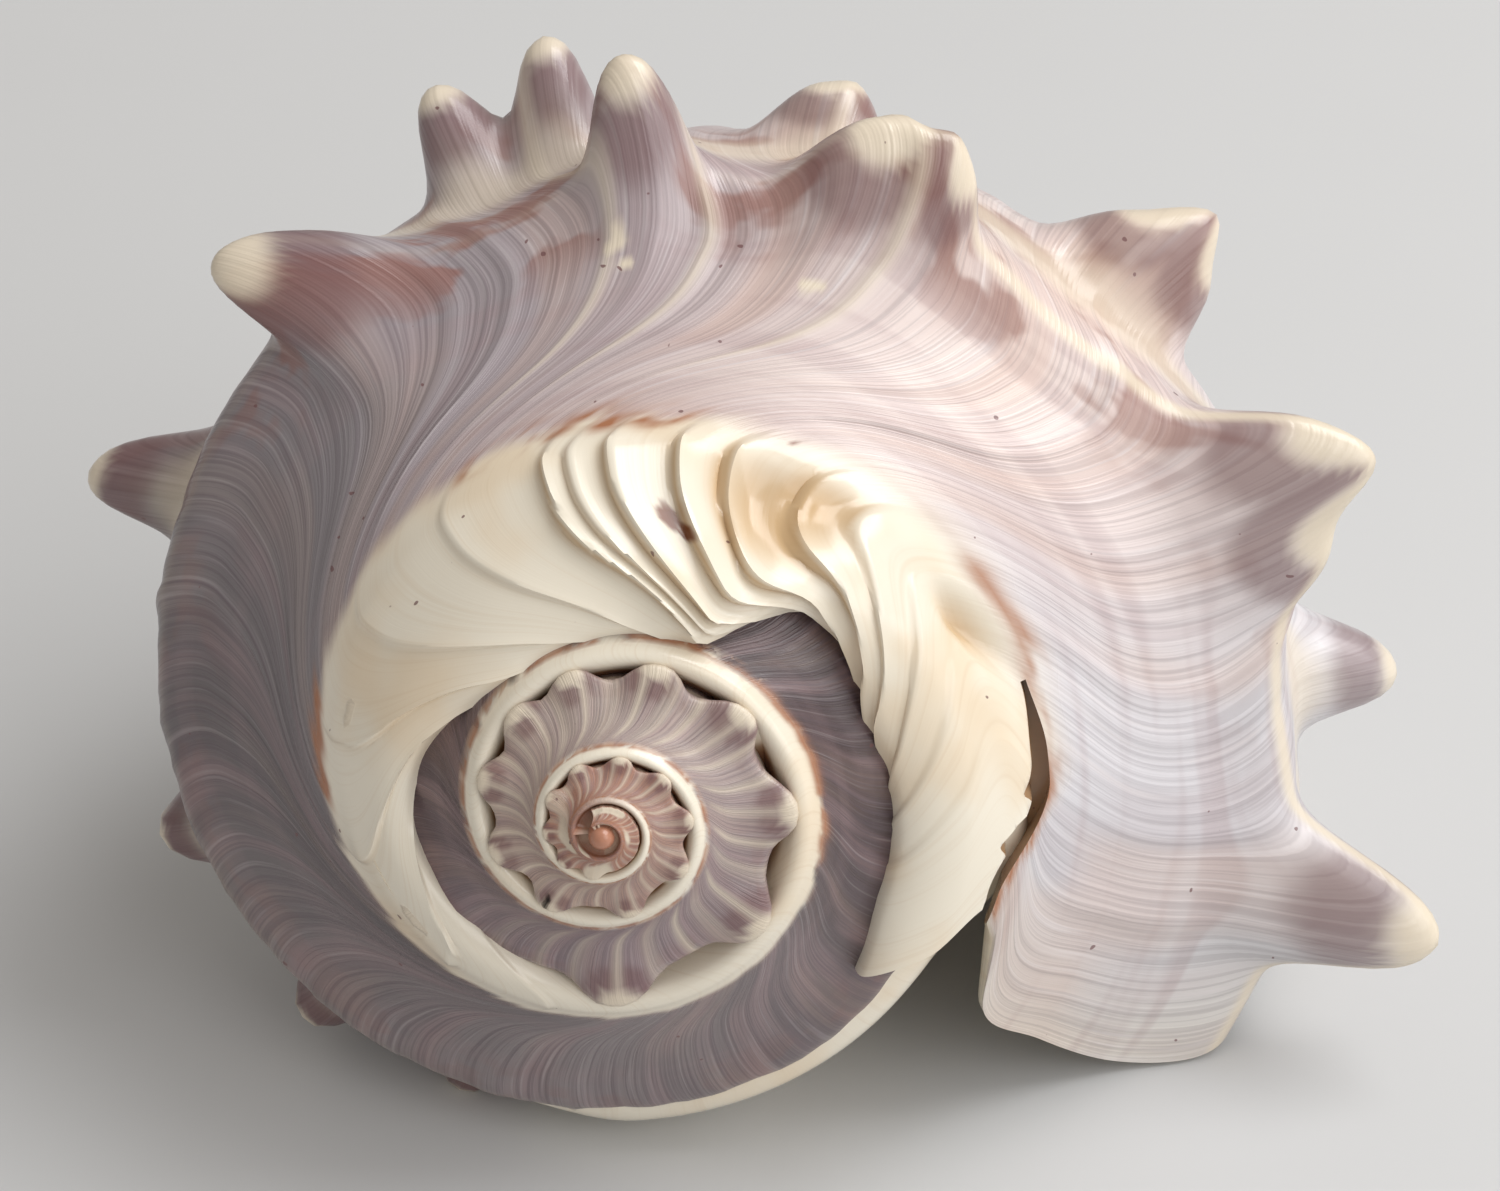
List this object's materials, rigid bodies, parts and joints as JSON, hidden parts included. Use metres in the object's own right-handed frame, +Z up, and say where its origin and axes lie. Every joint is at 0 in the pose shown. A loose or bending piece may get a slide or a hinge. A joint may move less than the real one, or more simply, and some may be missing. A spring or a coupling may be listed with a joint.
{
  "type": "conch shell",
  "caption": "Crown conch shell with a low channelled spire, a broad callus and spines on its shoulder, lying on its open mouth as a display or study piece.",
  "frame": {"origin": "on the table under the middle of the shell's bounding box", "axes": "+Z up, +Y from the spire towards the siphonal canal, +X towards the outer lip"},
  "size_m": [0.0914, 0.1044, 0.0706],
  "materials": {
    "shell": "semi-gloss aragonite shell, violet grey and cream"
  },
  "bodies": {
    "root": {"shell": "shell"}
  },
  "joints": []
}
